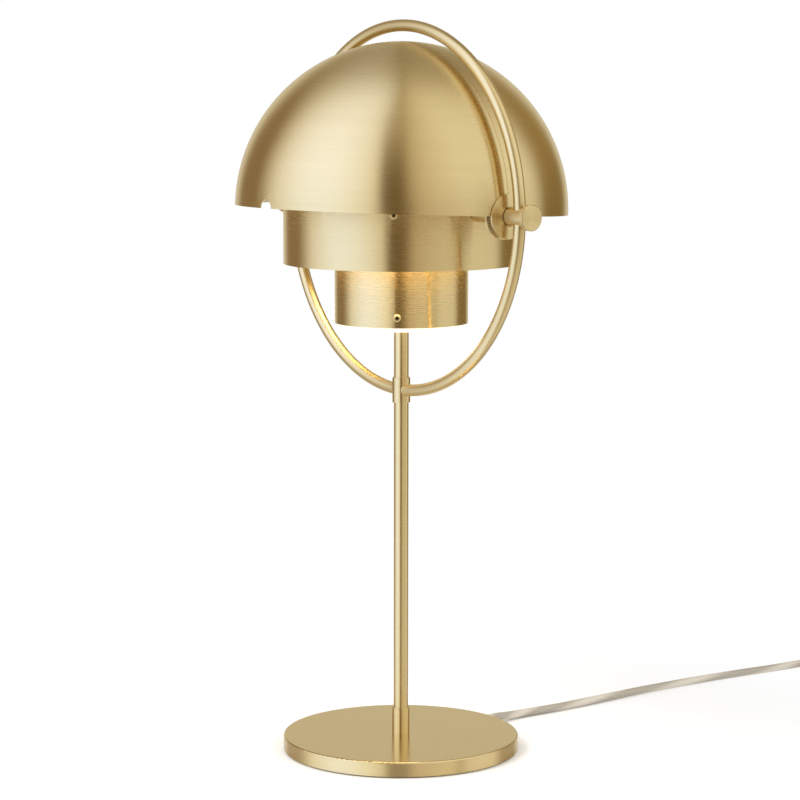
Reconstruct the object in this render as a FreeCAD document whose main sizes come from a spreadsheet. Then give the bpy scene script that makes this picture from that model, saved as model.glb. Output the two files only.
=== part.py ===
import FreeCAD, Part
import math
import os

import Sketcher

# A table lamp with two quarter-sphere shades that turn inside a closed ring.
# Frame: origin at the centre of the underside, +Z up, +X along the hinge axis of the shades.
# The front shade opens towards -Y and the back shade towards +Y.

doc = FreeCAD.newDocument("dome_shade_lamp")
Vector = FreeCAD.Vector

SIZES = {
    "fit_gap": 0.05,
    "skin_gap": 0.3,
    "cut_margin": 1.0,
    # foot
    "base_radius": 81.0,
    "base_height": 9.9,
    "base_round": 1.0,
    "recess_radius": 20.0,
    "recess_depth": 5.0,
    "pad_radius": 78.5,
    "pad_height": 0.8,
    "foot_nut_flats": 17.0,
    "foot_nut_height": 3.0,
    "stem_end_length": 0.5,
    # stem
    "stem_radius": 5.0,
    "stem_bore_radius": 3.5,
    "stem_end_rise": 8.3,
    "lower_collar_radius": 6.0,
    "lower_collar_height": 18.4,
    "upper_collar_radius": 6.1,
    "upper_collar_height": 17.0,
    # ring
    "ring_clearance": 10.5,
    "ring_tube_radius": 4.0,
    "hinge_height": 373.0,
    # hinge stack, along the hinge axis
    "pin_radius": 3.0,
    "pin_nut_flats": 10.0,
    "pin_nut_height": 5.0,
    "pin_end_length": 1.5,
    "shaft_radius": 6.0,
    "shaft_proud": 9.2,
    "cap_radius": 8.5,
    "cap_height": 3.1,
    "cap_round": 0.5,
    "cap_spigot_length": 4.8,
    "cap_spigot_gap": 0.2,
    "disc_radius": 14.7,
    "disc_thickness": 1.0,
    "disc_hole_radius": 6.5,
    "friction_radius": 9.0,
    "sleeve_radius": 5.0,
    # shades
    "shade_radius": 112.5,
    "shade_wall": 1.0,
    "front_shade_span": 88.0,
    "back_shade_span": 92.5,
    "seam_gap": 0.3,
    "back_tab_radius": 14.0,
    "back_tab_overlap": 2.0,
    "front_tab_radius": 15.2,
    "front_tab_drop": 3.5,
    "joggle_wall": 1.0,
    "joggle_gap": 0.6,
    "notch_radius": 6.0,
    "shade_margin": 10.0,
    # inner cylinders
    "large_radius": 80.0,
    "large_length": 73.0,
    "small_radius": 45.3,
    "small_length": 69.8,
    "small_drop": 76.8,
    "cylinder_wall": 1.0,
    "screw_azimuth": -41.5,
    "small_screw_rise": 6.9,
    # screws of the cylinders
    "screw_radius": 1.5,
    "screw_head_radius": 2.5,
    "screw_head_height": 1.5,
    "screw_crown_radius": 1.75,
    "screw_crown_height": 0.75,
    "screw_socket_radius": 0.85,
    "screw_socket_depth": 1.0,
    "screw_nut_flats": 5.5,
    "screw_nut_height": 2.4,
    "screw_end_length": 0.6,
    "screw_way_in": 12.0,
    "screw_way_out": 6.0,
    # spider and straps
    "strip_width": 8.0,
    "strip_thickness": 1.5,
    "strip_inset": 0.2,
    "spider_rise": 2.0,
    "spider_thickness": 1.5,
    "spider_hub_radius": 12.0,
    "spider_arm_overlap": 4.0,
    "spider_flange_height": 9.5,
    "strap_clearance": 1.5,
    "strap_flange_height": 11.5,
    "spider_nut_flats": 14.0,
    "spider_nut_height": 3.0,
    # lampholder and bulb
    "holder_radius": 14.0,
    "holder_wall": 2.0,
    "holder_cap_height": 10.5,
    "holder_cap_chamfer": 3.0,
    "holder_body_height": 39.0,
    "holder_floor_low": 10.0,
    "holder_floor_high": 16.0,
    "holder_floor_bore": 2.0,
    "bulb_cap_radius": 6.9,
    "bulb_cap_height": 23.0,
    "bulb_tip_radius": 3.0,
    "bulb_tip_height": 2.0,
    "bulb_radius": 22.5,
    "bulb_centre_rise": 37.0,
    "bulb_neck_radius": 12.0,
    "bulb_neck_height": 19.0,
    "bulb_wall": 0.8,
    # diffuser
    "diffuser_thickness": 2.0,
    "diffuser_drop": 6.2,
    "diffuser_sag": 5.5,
    # cord and plug
    "cord_radius": 2.8,
    "cord_azimuth": 97.0,
    "cord_exit_height": 5.4,
    "relief_radius": 3.9,
    "relief_tip_radius": 3.2,
    "relief_length": 22.0,
    "relief_proud": 3.0,
    "relief_shoulder": 1.0,
    "coil_radius": 44.5,
    "coil_half_turn_step": 3.5,
    "coil_layer_step": 7.2,
    "coil_half_turns_per_layer": 6,
    "plug_width": 35.0,
    "plug_neck_width": 10.0,
    "plug_height": 14.0,
    "plug_length": 36.0,
    "plug_shoulder": 14.0,
    "plug_round": 2.5,
    "plug_pin_radius": 2.0,
    "plug_pin_length": 19.0,
    "plug_pin_spacing": 18.6,
}

sheet = doc.addObject("Spreadsheet::Sheet", "Sizes")
for row, (alias, number) in enumerate(SIZES.items(), start=1):
    sheet.set("A%d" % row, alias)
    sheet.set("B%d" % row, str(number))
    sheet.setAlias("B%d" % row, alias)
doc.recompute()


def size(alias):
    """The sheet's value of one size."""
    return float(getattr(sheet, alias))


def bound(expression):
    """The expression with each size's name pointed at the sheet."""
    words = []
    word = ""
    for letter in expression + " ":
        if letter.isalnum() or letter in "_.":
            word += letter
            continue
        words.append("Sizes." + word if word in SIZES else word)
        words.append(letter)
        word = ""
    return "".join(words).strip()


def bind(item, name, expression):
    item.setExpression(name, bound(expression))


# Heights and distances that several pieces share, as expressions of the sizes.
BASE_TOP = "(pad_height + base_height)"
LARGE_BOTTOM = "(hinge_height - large_length / 2)"
SMALL_BOTTOM = "(hinge_height - small_drop)"
SMALL_TOP = "(hinge_height - small_drop + small_length)"
SMALL_SCREW_HEIGHT = "(hinge_height - small_drop + small_screw_rise)"
SHADE_INNER = "(shade_radius - shade_wall)"
DISC_INNER = "(shade_radius + skin_gap)"
DISC_OUTER = "(shade_radius + skin_gap + disc_thickness)"
FRONT_TAB_OUTER = "(shade_radius - front_tab_drop)"
FRONT_TAB_INNER = "(shade_radius - front_tab_drop - shade_wall)"
PIN_HOLE = "(pin_radius + fit_gap)"
LARGE_INNER = "(large_radius - cylinder_wall)"
SMALL_INNER = "(small_radius - cylinder_wall)"
SPIDER_LOW = "(hinge_height - small_drop + spider_rise)"
SPIDER_TOP = "(hinge_height - small_drop + spider_rise + spider_thickness)"
STEM_TOP = "(%s + stem_end_rise)" % SPIDER_TOP
HOLDER_BODY_LOW = "(%s + holder_cap_height)" % SPIDER_TOP
BULB_LOW = "(%s + holder_cap_height + holder_floor_high)" % SPIDER_TOP
DIFFUSER_LOW = "(hinge_height - small_drop - diffuser_drop)"
RING_RADIUS = "(shade_radius + ring_clearance)"
RING_LOW = "(hinge_height - shade_radius - ring_clearance)"
SHAFT_END = "(shade_radius + ring_clearance + shaft_proud)"


def worked_out(expression):
    """The number that an expression of the sizes gives."""
    cell = "C1"
    sheet.set(cell, "=" + expression)
    sheet.recompute()
    number = float(sheet.get(cell))
    sheet.clear(cell)
    return number


def radial(azimuth, height):
    """A placement on the lamp's axis whose local Z points outwards, level, at an azimuth."""
    angle = math.radians(azimuth)
    outward = Vector(math.cos(angle), math.sin(angle), 0)
    return FreeCAD.Placement(Vector(0, 0, height), FreeCAD.Rotation(Vector(0, 0, 1), outward))


def spoke(azimuth):
    """A placement whose local X points outwards at an azimuth and whose local Z stays up."""
    return FreeCAD.Placement(Vector(), FreeCAD.Rotation(Vector(0, 0, 1), azimuth))


def seat(piece, corner, frame):
    """Puts a piece's corner, given as three expressions in a frame, into place."""
    if frame is None:
        for axis, expression in zip("xyz", corner):
            bind(piece, "Placement.Base." + axis, expression)
        return
    offset = Vector(*[worked_out(expression) for expression in corner])
    piece.Placement = frame.multiply(FreeCAD.Placement(offset, FreeCAD.Rotation()))


def cylinder(name, radius, low, high, frame=None):
    piece = doc.addObject("Part::Cylinder", name)
    bind(piece, "Radius", radius)
    bind(piece, "Height", "(%s) - (%s)" % (high, low))
    seat(piece, ("0", "0", low), frame)
    return piece


def cone(name, low_radius, high_radius, low, high):
    piece = doc.addObject("Part::Cone", name)
    bind(piece, "Radius1", low_radius)
    bind(piece, "Radius2", high_radius)
    bind(piece, "Height", "(%s) - (%s)" % (high, low))
    seat(piece, ("0", "0", low), None)
    return piece


def sphere(name, radius, height="0"):
    piece = doc.addObject("Part::Sphere", name)
    bind(piece, "Radius", radius)
    bind(piece, "Placement.Base.z", height)
    return piece


def lune(name, radius, span):
    """A wedge of a ball about the local Z axis, from the local X axis round by its span."""
    piece = sphere(name, radius)
    piece.Angle1 = -90
    piece.Angle2 = 90
    bind(piece, "Angle3", span)
    return piece


def box(name, low, high, frame=None):
    piece = doc.addObject("Part::Box", name)
    for side, start, end in zip(("Length", "Width", "Height"), low, high):
        bind(piece, side, "(%s) - (%s)" % (end, start))
    seat(piece, low, frame)
    return piece


def fuse(name, *pieces):
    joined = doc.addObject("Part::MultiFuse", name)
    joined.Shapes = list(pieces)
    joined.Refine = True
    return joined


def common(name, first, second):
    shared = doc.addObject("Part::Common", name)
    shared.Base = first
    shared.Tool = second
    return shared


def cut(name, base, *tools):
    tool = tools[0] if len(tools) == 1 else fuse(name + "_tools", *tools)
    result = doc.addObject("Part::Cut", name)
    result.Base = base
    result.Tool = tool
    return result


def tube(name, radius, bore, low, high):
    outer = cylinder(name + "_outer", radius, low, high)
    inner = cylinder(name + "_bore", bore, "(%s) - cut_margin" % low, "(%s) + cut_margin" % high)
    return cut(name, outer, inner)


def hex_nut(name, flats, bore, low, high, frame=None):
    blank = doc.addObject("Part::Prism", name + "_blank")
    blank.Polygon = 6
    bind(blank, "Circumradius", "%s / sqrt(3)" % flats)
    bind(blank, "Height", "(%s) - (%s)" % (high, low))
    seat(blank, ("0", "0", low), frame)
    hole = cylinder(name + "_bore", bore, "(%s) - cut_margin" % low, "(%s) + cut_margin" % high, frame)
    return cut(name, blank, hole)


def group(name, pieces):
    """Several loose solids of one kind as one piece of the assembly."""
    together = doc.addObject("Part::Compound", name)
    together.Links = pieces
    return together


def turned(name, outline, frame=None):
    """A solid of revolution about the local Z axis, from (radius, height) expressions."""
    body = doc.addObject("PartDesign::Body", name)
    sketch = body.newObject("Sketcher::SketchObject", name + "_outline")
    plane = [item for item in body.Origin.OriginFeatures if item.Role == "XZ_Plane"][0]
    sketch.AttachmentSupport = [(plane, "")]
    sketch.MapMode = "FlatFace"
    places = [(worked_out(radius), worked_out(height)) for radius, height in outline]
    count = len(places)
    for index in range(count):
        start = Vector(*places[index], 0)
        end = Vector(*places[(index + 1) % count], 0)
        sketch.addGeometry(Part.LineSegment(start, end), False)
    for index in range(count):
        sketch.addConstraint(Sketcher.Constraint("Coincident", index, 2, (index + 1) % count, 1))
    for index, (expressions, place) in enumerate(zip(outline, places)):
        for kind, axis, expression, number in zip(
            ("DistanceX", "DistanceY"), (-2, -1), expressions, place
        ):
            if number == 0:
                sketch.addConstraint(Sketcher.Constraint("PointOnObject", index, 1, axis))
                continue
            rule = Sketcher.Constraint(kind, -1, 1, index, 1, number)
            bind(sketch, "Constraints[%d]" % sketch.addConstraint(rule), expression)
    turn = body.newObject("PartDesign::Revolution", name + "_turn")
    turn.Profile = sketch
    turn.ReferenceAxis = (sketch, ["V_Axis"])
    turn.Angle = 360
    if frame is not None:
        body.Placement = frame
    return body


def dished(name, outer, inner, radius, hole, frame):
    """A round washer that follows a sphere about the hinge centre."""
    shell = cut(name + "_shell", sphere(name + "_outer", outer), sphere(name + "_inner", inner))
    ring = tube(name + "_ring", radius, hole, "0", outer)
    washer = common(name, shell, ring)
    washer.Placement = frame
    return washer


def rounded_rim(name, piece, radius, rim_radius, rim_height):
    """The piece with its round rim of one radius and height rounded over."""
    doc.recompute()
    edges = []
    for number, edge in enumerate(piece.Shape.Edges, start=1):
        curve = edge.Curve
        if not isinstance(curve, Part.Circle) or abs(curve.Radius - rim_radius) > 1e-6:
            continue
        if abs(curve.Center.z - rim_height) < 1e-6:
            edges.append((number, radius, radius))
    fillet = doc.addObject("Part::Fillet", name)
    fillet.Base = piece
    fillet.Edges = edges
    return fillet


# ---------------------------------------------------------------- foot

base_pad = cylinder("base_pad", "pad_radius", "0", "pad_height")


def make_base_plate():
    blank = cylinder("base_blank", "base_radius", "pad_height", BASE_TOP)
    recess = cylinder("base_recess", "recess_radius", "0", "pad_height + recess_depth")
    bore = cylinder("base_bore", "stem_radius + fit_gap", "0", BASE_TOP + " + cut_margin")
    frame = radial(size("cord_azimuth"), size("cord_exit_height"))
    channel = cylinder(
        "base_cord_channel",
        "relief_radius + fit_gap",
        "recess_radius - 2 * cut_margin",
        "base_radius + cut_margin",
        frame,
    )
    drilled = cut("base_drilled", blank, recess, bore, channel)
    return rounded_rim(
        "base_plate", drilled, size("base_round"), size("base_radius"), worked_out(BASE_TOP)
    )


base_plate = make_base_plate()
foot_nut = hex_nut(
    "foot_nut",
    "foot_nut_flats",
    "stem_radius + fit_gap",
    "pad_height + recess_depth - foot_nut_height",
    "pad_height + recess_depth",
)

# ---------------------------------------------------------------- stem and ring

stem = tube(
    "stem",
    "stem_radius",
    "stem_bore_radius",
    "pad_height + recess_depth - foot_nut_height - stem_end_length",
    STEM_TOP,
)
lower_collar = tube(
    "lower_collar",
    "lower_collar_radius",
    "stem_radius + fit_gap",
    BASE_TOP,
    BASE_TOP + " + lower_collar_height",
)
upper_collar = tube(
    "upper_collar",
    "upper_collar_radius",
    "stem_radius + fit_gap",
    RING_LOW + " - upper_collar_height / 2",
    RING_LOW + " + upper_collar_height / 2",
)


def ring_torus(name, tube_radius):
    torus = doc.addObject("Part::Torus", name)
    bind(torus, "Radius1", RING_RADIUS)
    bind(torus, "Radius2", tube_radius)
    torus.Placement = FreeCAD.Placement(
        Vector(0, 0, size("hinge_height")), FreeCAD.Rotation(Vector(1, 0, 0), 90)
    )
    return torus


collar_space = cylinder(
    "collar_space",
    "upper_collar_radius",
    RING_LOW + " - upper_collar_height",
    RING_LOW + " + upper_collar_height",
)
ring = cut("ring", ring_torus("ring_loop", "ring_tube_radius"), collar_space)

# ---------------------------------------------------------------- hinges of the shades


def make_hinge(side, azimuth):
    """The pieces of one hinge, from the nut inside the large cylinder out to the end cap."""
    frame = radial(azimuth, size("hinge_height"))
    nut_high = LARGE_INNER + " - skin_gap"
    nut_low = nut_high + " - pin_nut_height"
    shoulder = DISC_INNER
    socket_low = SHAFT_END + " - cap_spigot_length - cap_spigot_gap"
    blank = turned(
        "hinge_shaft_blank_" + side,
        [
            ("0", nut_low + " - pin_end_length"),
            ("pin_radius", nut_low + " - pin_end_length"),
            ("pin_radius", shoulder),
            ("shaft_radius", shoulder),
            ("shaft_radius", SHAFT_END),
            (PIN_HOLE, SHAFT_END),
            (PIN_HOLE, socket_low),
            ("0", socket_low),
        ],
        frame,
    )
    shaft = cut(
        "hinge_shaft_" + side, blank, ring_torus("ring_way_" + side, "ring_tube_radius + fit_gap")
    )
    cap = turned(
        "end_cap_" + side,
        [
            ("0", SHAFT_END + " - cap_spigot_length"),
            ("pin_radius", SHAFT_END + " - cap_spigot_length"),
            ("pin_radius", SHAFT_END),
            ("cap_radius", SHAFT_END),
            ("cap_radius", SHAFT_END + " + cap_height - cap_round"),
            ("cap_radius - cap_round", SHAFT_END + " + cap_height"),
            ("0", SHAFT_END + " + cap_height"),
        ],
        frame,
    )
    disc = dished(
        "disc_washer_" + side, DISC_OUTER, DISC_INNER, "disc_radius", "disc_hole_radius", frame
    )
    friction = dished(
        "friction_washer_" + side,
        SHADE_INNER + " - skin_gap",
        FRONT_TAB_OUTER + " + skin_gap",
        "friction_radius",
        PIN_HOLE,
        frame,
    )
    sleeve = tube(
        "spacer_sleeve_" + side,
        "sleeve_radius",
        PIN_HOLE,
        "large_radius + fit_gap",
        FRONT_TAB_INNER + " - 2 * skin_gap",
    )
    sleeve.Placement = frame
    nut = hex_nut("hinge_nut_" + side, "pin_nut_flats", PIN_HOLE, nut_low, nut_high, frame)
    return [shaft, cap, disc, friction, sleeve, nut]


hinge_pieces = make_hinge("right", 0) + make_hinge("left", 180)

# ---------------------------------------------------------------- shades


def make_shade(name, span, tab_outer, tab_inner, tab_radius, clear_radius, joggled, y_side):
    """A wedge of a hemisphere with a round tab at each end for the hinge pin.

    It is made with the hinge axis along local Z and its seam along local X.
    """
    whole = cut(
        name + "_whole",
        lune(name + "_outer", "shade_radius", span),
        sphere(name + "_inner", SHADE_INNER),
    )
    reach = "shade_radius + shade_margin"
    clearing = cylinder(name + "_clearing", clear_radius, "-(%s)" % reach, reach)
    seam = box(
        name + "_seam",
        ("-(%s)" % reach, "-(%s)" % reach, "-(%s)" % reach),
        (reach, "seam_gap / 2", reach),
    )
    wall = cut(name + "_wall", whole, clearing, seam)
    tab_ball = cut(
        name + "_tab_ball",
        sphere(name + "_tab_outer", tab_outer),
        sphere(name + "_tab_inner", tab_inner),
    )
    tab_slug = cylinder(name + "_tab_slug", tab_radius, "-(%s)" % reach, reach)
    parts = [wall, common(name + "_tabs", tab_ball, tab_slug)]
    if joggled:
        thick = cut(
            name + "_thick",
            lune(name + "_joggle_outer", "shade_radius", span),
            sphere(name + "_joggle_inner", tab_inner),
        )
        sleeve = tube(
            name + "_joggle_ring",
            clear_radius + " + joggle_wall",
            clear_radius,
            "-(%s)" % reach,
            reach,
        )
        joggle = common(name + "_joggle_round", thick, sleeve)
        seam_side = box(
            name + "_joggle_seam",
            ("-(%s)" % reach, "-(%s)" % reach, "-(%s)" % reach),
            (reach, "seam_gap / 2", reach),
        )
        parts.append(cut(name + "_joggle", joggle, seam_side))
    pin_hole = cylinder(name + "_pin_hole", PIN_HOLE, "-(%s)" % reach, reach)
    angle = math.radians(size(span))
    rim = Vector(math.cos(angle), math.sin(angle), 0)
    notch_frame = FreeCAD.Placement(Vector(), FreeCAD.Rotation(Vector(0, 0, 1), rim))
    notch = cylinder(name + "_notch", "notch_radius", "shade_radius - 2 * shade_margin", reach, notch_frame)
    shade = cut(name, fuse(name + "_joined", *parts), pin_hole, notch)
    up = Vector(0, 0, 1)
    towards = Vector(0, y_side, 0)
    turn = FreeCAD.Rotation(up, towards, up.cross(towards), "XYZ")
    shade.Placement = FreeCAD.Placement(Vector(0, 0, size("hinge_height")), turn)
    return shade


shade_back = make_shade(
    "shade_back",
    "back_shade_span",
    "shade_radius",
    SHADE_INNER,
    "back_tab_radius",
    "back_tab_radius - back_tab_overlap",
    False,
    1,
)
shade_front = make_shade(
    "shade_front",
    "front_shade_span",
    FRONT_TAB_OUTER,
    FRONT_TAB_INNER,
    "front_tab_radius",
    "(back_tab_radius + joggle_gap)",
    True,
    -1,
)

# ---------------------------------------------------------------- inner cylinders

AZIMUTHS = [size("screw_azimuth") + turn for turn in (0, 120, 240)]
SCREW_HOLE = "screw_radius + 2 * fit_gap"


def screw_ways(name, height, reach):
    """The three clearance holes of one ring of screws."""
    return [
        cylinder("%s_%d" % (name, index), SCREW_HOLE, reach + " - screw_way_in", reach + " + screw_way_out", frame)
        for index, frame in enumerate(radial(azimuth, worked_out(height)) for azimuth in AZIMUTHS)
    ]


large_tube = tube(
    "large_tube", "large_radius", LARGE_INNER, LARGE_BOTTOM, LARGE_BOTTOM + " + large_length"
)
pin_ways = cylinder(
    "pin_ways",
    PIN_HOLE,
    "-(large_radius + cut_margin)",
    "large_radius + cut_margin",
    radial(0, size("hinge_height")),
)
large_cylinder = cut(
    "large_cylinder", large_tube, pin_ways, *screw_ways("large_way", "hinge_height", "large_radius")
)
small_tube = tube("small_tube", "small_radius", SMALL_INNER, SMALL_BOTTOM, SMALL_TOP)
small_cylinder = cut(
    "small_cylinder", small_tube, *screw_ways("small_way", SMALL_SCREW_HEIGHT, "small_radius")
)

# The strips lie on the walls; a flat strip's edges touch a round wall first, so it sits a little in.
STRAP_LOW_OUT = "(small_radius - cylinder_wall - strip_inset)"
STRAP_HIGH_OUT = "(large_radius - cylinder_wall - strip_inset)"
FLANGE_OUT = "(small_radius - cylinder_wall - strip_inset - strip_thickness - fit_gap)"
STRAP_RISE = "(%s + strap_clearance)" % SMALL_TOP
HALF_STRIP = "strip_width / 2"


def make_spider():
    """The hub on the stem with three arms that turn up against the small cylinder."""
    pieces = [cylinder("spider_hub", "spider_hub_radius", SPIDER_LOW, SPIDER_TOP)]
    for index, azimuth in enumerate(AZIMUTHS):
        frame = spoke(azimuth)
        pieces.append(
            box(
                "spider_arm_%d" % index,
                ("spider_hub_radius - spider_arm_overlap", "-" + HALF_STRIP, SPIDER_LOW),
                (FLANGE_OUT, HALF_STRIP, SPIDER_TOP),
                frame,
            )
        )
        pieces.append(
            box(
                "spider_flange_%d" % index,
                (FLANGE_OUT + " - strip_thickness", "-" + HALF_STRIP, SPIDER_LOW),
                (FLANGE_OUT, HALF_STRIP, SPIDER_LOW + " + spider_flange_height"),
                frame,
            )
        )
    bore = cylinder(
        "spider_bore",
        "stem_radius + fit_gap",
        SPIDER_LOW + " - cut_margin",
        SPIDER_TOP + " + cut_margin",
    )
    ways = screw_ways("spider_way", SMALL_SCREW_HEIGHT, "small_radius")
    return cut("spider", fuse("spider_blank", *pieces), bore, *ways)


def make_strap(index, azimuth):
    """A bent strip from a screw of the small cylinder, over its top, to one of the large."""
    frame = spoke(azimuth)
    name = "strap_%d" % index
    leg = box(
        name + "_leg",
        (STRAP_LOW_OUT + " - strip_thickness", "-" + HALF_STRIP, SPIDER_LOW + " + skin_gap"),
        (STRAP_LOW_OUT, HALF_STRIP, STRAP_RISE + " + strip_thickness"),
        frame,
    )
    bridge = box(
        name + "_bridge",
        (STRAP_LOW_OUT + " - strip_thickness", "-" + HALF_STRIP, STRAP_RISE),
        (STRAP_HIGH_OUT, HALF_STRIP, STRAP_RISE + " + strip_thickness"),
        frame,
    )
    flange = box(
        name + "_flange",
        (STRAP_HIGH_OUT + " - strip_thickness", "-" + HALF_STRIP, STRAP_RISE),
        (STRAP_HIGH_OUT, HALF_STRIP, STRAP_RISE + " + strap_flange_height"),
        frame,
    )
    low_way = cylinder(
        name + "_low_way",
        SCREW_HOLE,
        "small_radius - screw_way_in",
        "small_radius",
        radial(azimuth, worked_out(SMALL_SCREW_HEIGHT)),
    )
    high_way = cylinder(
        name + "_high_way",
        SCREW_HOLE,
        "large_radius - screw_way_in",
        "large_radius",
        radial(azimuth, size("hinge_height")),
    )
    return cut(name, fuse(name + "_blank", leg, bridge, flange), low_way, high_way)


def make_screws(label, wall_radius, nut_high, height):
    """Three socket screws whose heads lie outside a wall, and the three nuts inside it."""
    nut_low = nut_high + " - screw_nut_height"
    head_low = wall_radius + " + fit_gap"
    head_high = head_low + " + screw_head_height"
    screws = []
    nuts = []
    for index, azimuth in enumerate(AZIMUTHS):
        frame = radial(azimuth, worked_out(height))
        outline = [
            ("0", nut_low + " - screw_end_length"),
            ("screw_radius", nut_low + " - screw_end_length"),
            ("screw_radius", head_low),
            ("screw_head_radius", head_low),
            ("screw_head_radius", head_high + " - screw_crown_height"),
            ("screw_crown_radius", head_high),
            ("screw_socket_radius", head_high),
            ("screw_socket_radius", head_high + " - screw_socket_depth"),
            ("0", head_high + " - screw_socket_depth"),
        ]
        screws.append(turned("%s_screw_%d" % (label, index), outline, frame))
        nuts.append(
            hex_nut(
                "%s_nut_%d" % (label, index),
                "screw_nut_flats",
                "screw_radius + fit_gap",
                nut_low,
                nut_high,
                frame,
            )
        )
    return [
        group(label + "_cylinder_screws", screws),
        group(label + "_cylinder_nuts", nuts),
    ]


spider = make_spider()
straps = group(
    "cylinder_straps", [make_strap(index, azimuth) for index, azimuth in enumerate(AZIMUTHS)]
)
fasteners = make_screws(
    "small",
    "small_radius",
    FLANGE_OUT + " - strip_thickness",
    SMALL_SCREW_HEIGHT,
) + make_screws(
    "large",
    "large_radius",
    STRAP_HIGH_OUT + " - strip_thickness",
    "hinge_height",
)
spider_nut = hex_nut(
    "spider_nut",
    "spider_nut_flats",
    "stem_radius + fit_gap",
    SPIDER_LOW + " - spider_nut_height",
    SPIDER_LOW,
)

# ---------------------------------------------------------------- light source


def make_diffuser():
    """A shallow bowl of opal glass that closes the small cylinder below."""
    rim = "(small_radius - cylinder_wall - skin_gap)"
    bowl = "((%s ^ 2 + diffuser_sag ^ 2) / (2 * diffuser_sag))" % rim
    centre = DIFFUSER_LOW + " + " + bowl
    shell = cut(
        "diffuser_shell",
        sphere("diffuser_outer", bowl, centre),
        sphere("diffuser_inner", bowl + " - diffuser_thickness", centre),
    )
    slug = tube(
        "diffuser_slug",
        rim,
        "stem_radius + skin_gap",
        DIFFUSER_LOW + " - cut_margin",
        DIFFUSER_LOW + " + diffuser_sag + diffuser_thickness",
    )
    return common("diffuser", shell, slug)


holder_cap = turned(
    "lampholder_cap",
    [
        ("stem_radius + fit_gap", SPIDER_TOP),
        ("holder_radius - holder_cap_chamfer", SPIDER_TOP),
        ("holder_radius", SPIDER_TOP + " + holder_cap_chamfer"),
        ("holder_radius", HOLDER_BODY_LOW),
        ("holder_radius - holder_wall", HOLDER_BODY_LOW),
        ("holder_radius - holder_wall", STEM_TOP + " - stem_end_length"),
        ("stem_radius + fit_gap", STEM_TOP + " - stem_end_length"),
    ],
)
BULB_BORE = "bulb_cap_radius + 2 * fit_gap"
holder_body = turned(
    "lampholder_body",
    [
        ("holder_radius - holder_wall", HOLDER_BODY_LOW),
        ("holder_radius", HOLDER_BODY_LOW),
        ("holder_radius", HOLDER_BODY_LOW + " + holder_body_height"),
        (BULB_BORE, HOLDER_BODY_LOW + " + holder_body_height"),
        (BULB_BORE, HOLDER_BODY_LOW + " + holder_floor_high"),
        ("holder_floor_bore", HOLDER_BODY_LOW + " + holder_floor_high"),
        ("holder_floor_bore", HOLDER_BODY_LOW + " + holder_floor_low"),
        ("holder_radius - holder_wall", HOLDER_BODY_LOW + " + holder_floor_low"),
    ],
)
BULB_CAP_TOP = "(%s + bulb_cap_height)" % BULB_LOW
bulb_cap = turned(
    "bulb_cap",
    [
        ("0", BULB_LOW),
        ("bulb_tip_radius", BULB_LOW),
        ("bulb_tip_radius", BULB_LOW + " + bulb_tip_height"),
        ("bulb_cap_radius", BULB_LOW + " + bulb_tip_height"),
        ("bulb_cap_radius", BULB_CAP_TOP),
        ("0", BULB_CAP_TOP),
    ],
)


def bulb_form(name, inset):
    """The neck and ball of the bulb, smaller all round by an inset."""
    neck = cone(
        name + "_neck",
        "bulb_cap_radius - " + inset,
        "bulb_neck_radius - " + inset,
        BULB_CAP_TOP + " + " + inset,
        BULB_CAP_TOP + " + bulb_neck_height",
    )
    ball = sphere(
        name + "_ball", "bulb_radius - " + inset, BULB_CAP_TOP + " + bulb_centre_rise"
    )
    return fuse(name, neck, ball)


bulb_glass = cut("bulb_glass", bulb_form("bulb_outer", "0"), bulb_form("bulb_inner", "bulb_wall"))
diffuser = make_diffuser()

# ---------------------------------------------------------------- cord and plug

cord_frame = radial(size("cord_azimuth"), size("cord_exit_height"))
relief_high = "base_radius + relief_proud"
cord_relief = turned(
    "cord_relief",
    [
        ("0", relief_high + " - relief_length"),
        ("relief_radius", relief_high + " - relief_length"),
        ("relief_radius", "base_radius - relief_shoulder"),
        ("relief_tip_radius", relief_high),
        ("0", relief_high),
    ],
    cord_frame,
)

CORD_RADIUS = size("cord_radius")
EXIT = worked_out(relief_high)
EXIT_HEIGHT = size("cord_exit_height")
EXIT_WAY = cord_frame.Rotation.multVec(Vector(0, 0, 1))


def along_exit(distance):
    return EXIT_WAY * (EXIT + distance) + Vector(0, 0, EXIT_HEIGHT)


# The cord leaves the foot level, comes down to the table and runs off to the back.
LEAD_POINTS = [
    along_exit(0),
    along_exit(10.5),
    Vector(-14.0, 109.0, 3.4),
    Vector(-15.2, 128.0, CORD_RADIUS),
    Vector(-13.0, 155.0, CORD_RADIUS),
    Vector(-13.6, 190.0, CORD_RADIUS),
    Vector(-15.6, 236.0, CORD_RADIUS),
    Vector(-14.6, 286.0, CORD_RADIUS),
    Vector(-11.6, 334.0, CORD_RADIUS),
    Vector(-6.6, 373.0, CORD_RADIUS),
    Vector(-5.0, 404.0, CORD_RADIUS),
    Vector(-5.0, 431.0, CORD_RADIUS),
]
LEAD_END = LEAD_POINTS[-1]
COIL_END_RUN = 2 * CORD_RADIUS
COIL_CENTRE = Vector(LEAD_END.x + size("coil_radius"), LEAD_END.y + COIL_END_RUN, CORD_RADIUS)
COIL_TOP = CORD_RADIUS + size("coil_layer_step")
TAIL_X = COIL_CENTRE.x + size("coil_radius")
PLUG_AXIS_HEIGHT = size("plug_height") / 2
TAIL_POINTS = [
    Vector(TAIL_X, LEAD_END.y, COIL_TOP),
    Vector(TAIL_X, LEAD_END.y - 13, COIL_TOP),
    Vector(TAIL_X + 15, LEAD_END.y - 47, PLUG_AXIS_HEIGHT),
    Vector(TAIL_X + 16, LEAD_END.y - 60, PLUG_AXIS_HEIGHT),
]
PLUG_PLACE = TAIL_POINTS[-1]


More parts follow.
